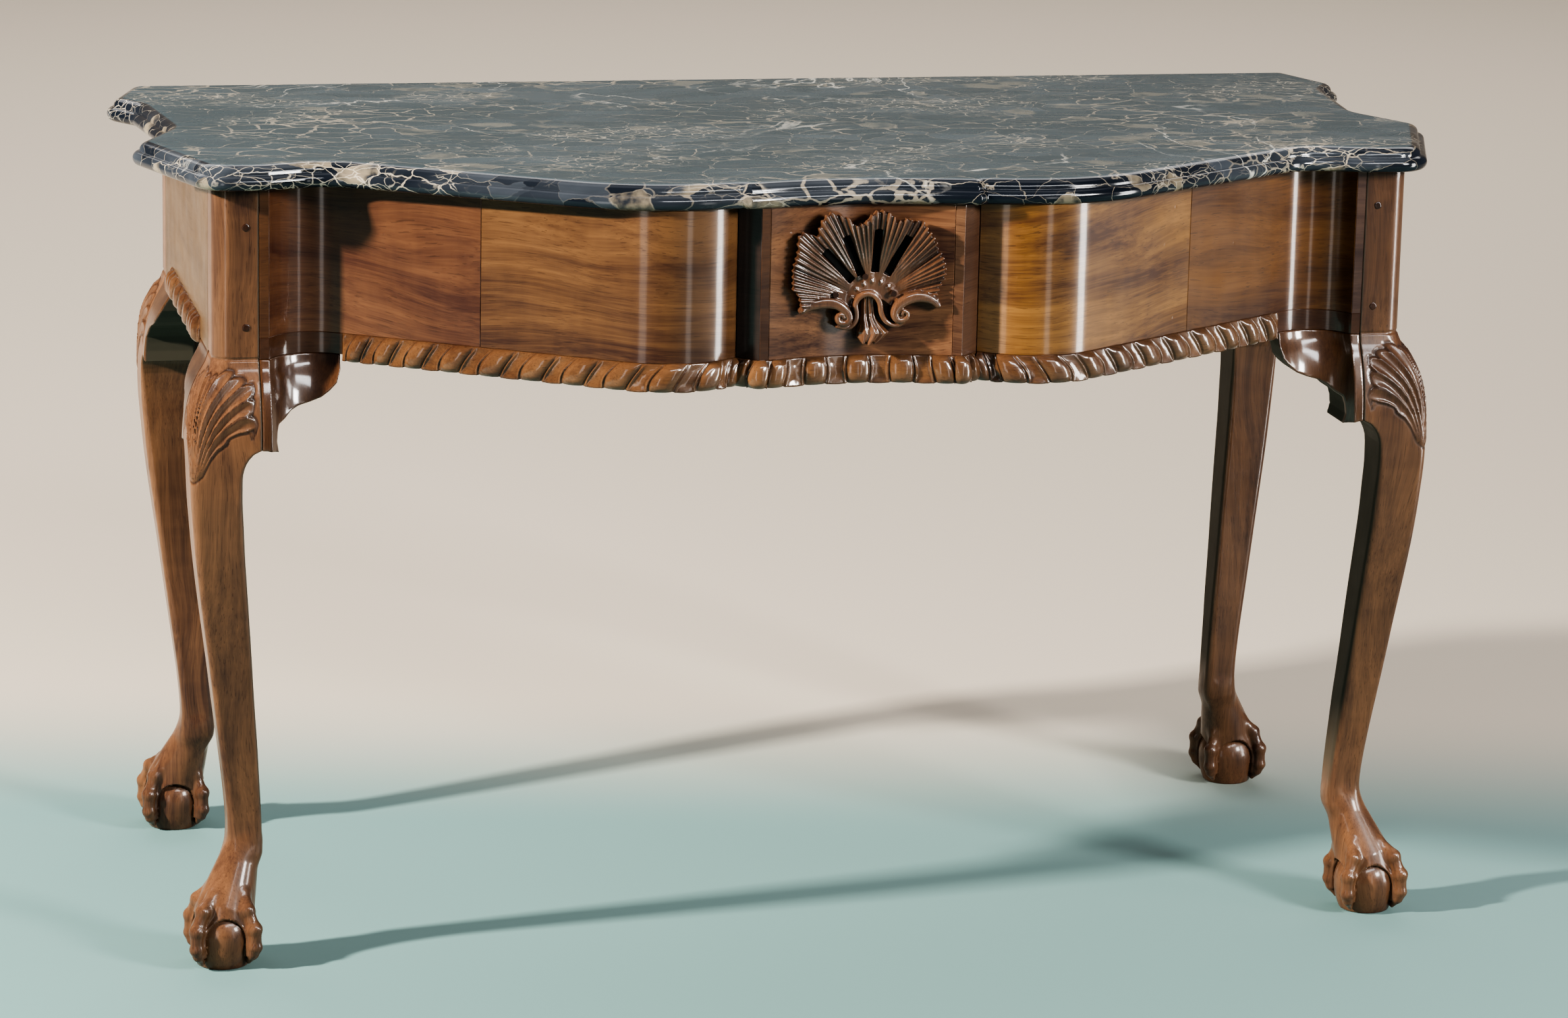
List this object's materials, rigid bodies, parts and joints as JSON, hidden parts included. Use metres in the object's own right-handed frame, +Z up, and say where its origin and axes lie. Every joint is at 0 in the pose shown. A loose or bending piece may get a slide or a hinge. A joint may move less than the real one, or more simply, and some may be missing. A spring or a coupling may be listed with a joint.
{
  "type": "pier table",
  "caption": "Serpentine-front pier table with a moulded marble slab, a carved shell, gadrooned apron edges and cabriole legs on claw-and-ball feet.",
  "frame": {"origin": "floor level under the middle of the overall box", "axes": "+X along the table's length to the viewer's right, +Y from the shaped front to the straight back, +Z up"},
  "size_m": [1.4022, 0.7381, 0.845],
  "materials": {
    "marble": "polished, dark with tan and cream veins",
    "mahogany": "polished",
    "figured_mahogany": "polished, sawn veneer",
    "secondary_wood": "plain sawn",
    "iron_nails": "dull"
  },
  "bodies": {
    "root": {"back_left_glue_block": "secondary_wood", "back_left_leg": "mahogany", "back_rail": "secondary_wood", "back_right_glue_block": "secondary_wood", "back_right_leg": "mahogany", "block_veneer_panel": "figured_mahogany", "bracket_nails": "iron_nails", "centre_front_gadroon": "mahogany", "front_core_bottom_course": "secondary_wood", "front_core_middle_course": "secondary_wood", "front_core_top_course": "secondary_wood", "front_left_glue_block": "secondary_wood", "front_left_leg": "mahogany", "front_right_glue_block": "secondary_wood", "front_right_leg": "mahogany", "front_tenon_pegs": "mahogany", "left_base_strip": "mahogany", "left_block_banding": "figured_mahogany", "left_brace": "secondary_wood", "left_corner_veneer": "figured_mahogany", "left_front_bracket": "mahogany", "left_front_gadroon": "mahogany", "left_inner_veneer": "figured_mahogany", "left_outer_veneer": "figured_mahogany", "left_return_veneer": "figured_mahogany", "left_side_back_bracket": "mahogany", "left_side_front_bracket": "mahogany", "left_side_gadroon": "mahogany", "left_side_rail": "mahogany", "marble_top": "marble", "right_base_strip": "mahogany", "right_block_banding": "figured_mahogany", "right_brace": "secondary_wood", "right_corner_veneer": "figured_mahogany", "right_front_bracket": "mahogany", "right_front_gadroon": "mahogany", "right_inner_veneer": "figured_mahogany", "right_outer_veneer": "figured_mahogany", "right_return_veneer": "figured_mahogany", "right_side_back_bracket": "mahogany", "right_side_front_bracket": "mahogany", "right_side_gadroon": "mahogany", "right_side_rail": "mahogany", "shell_ornament": "mahogany", "shell_pins": "mahogany"}
  },
  "joints": []
}
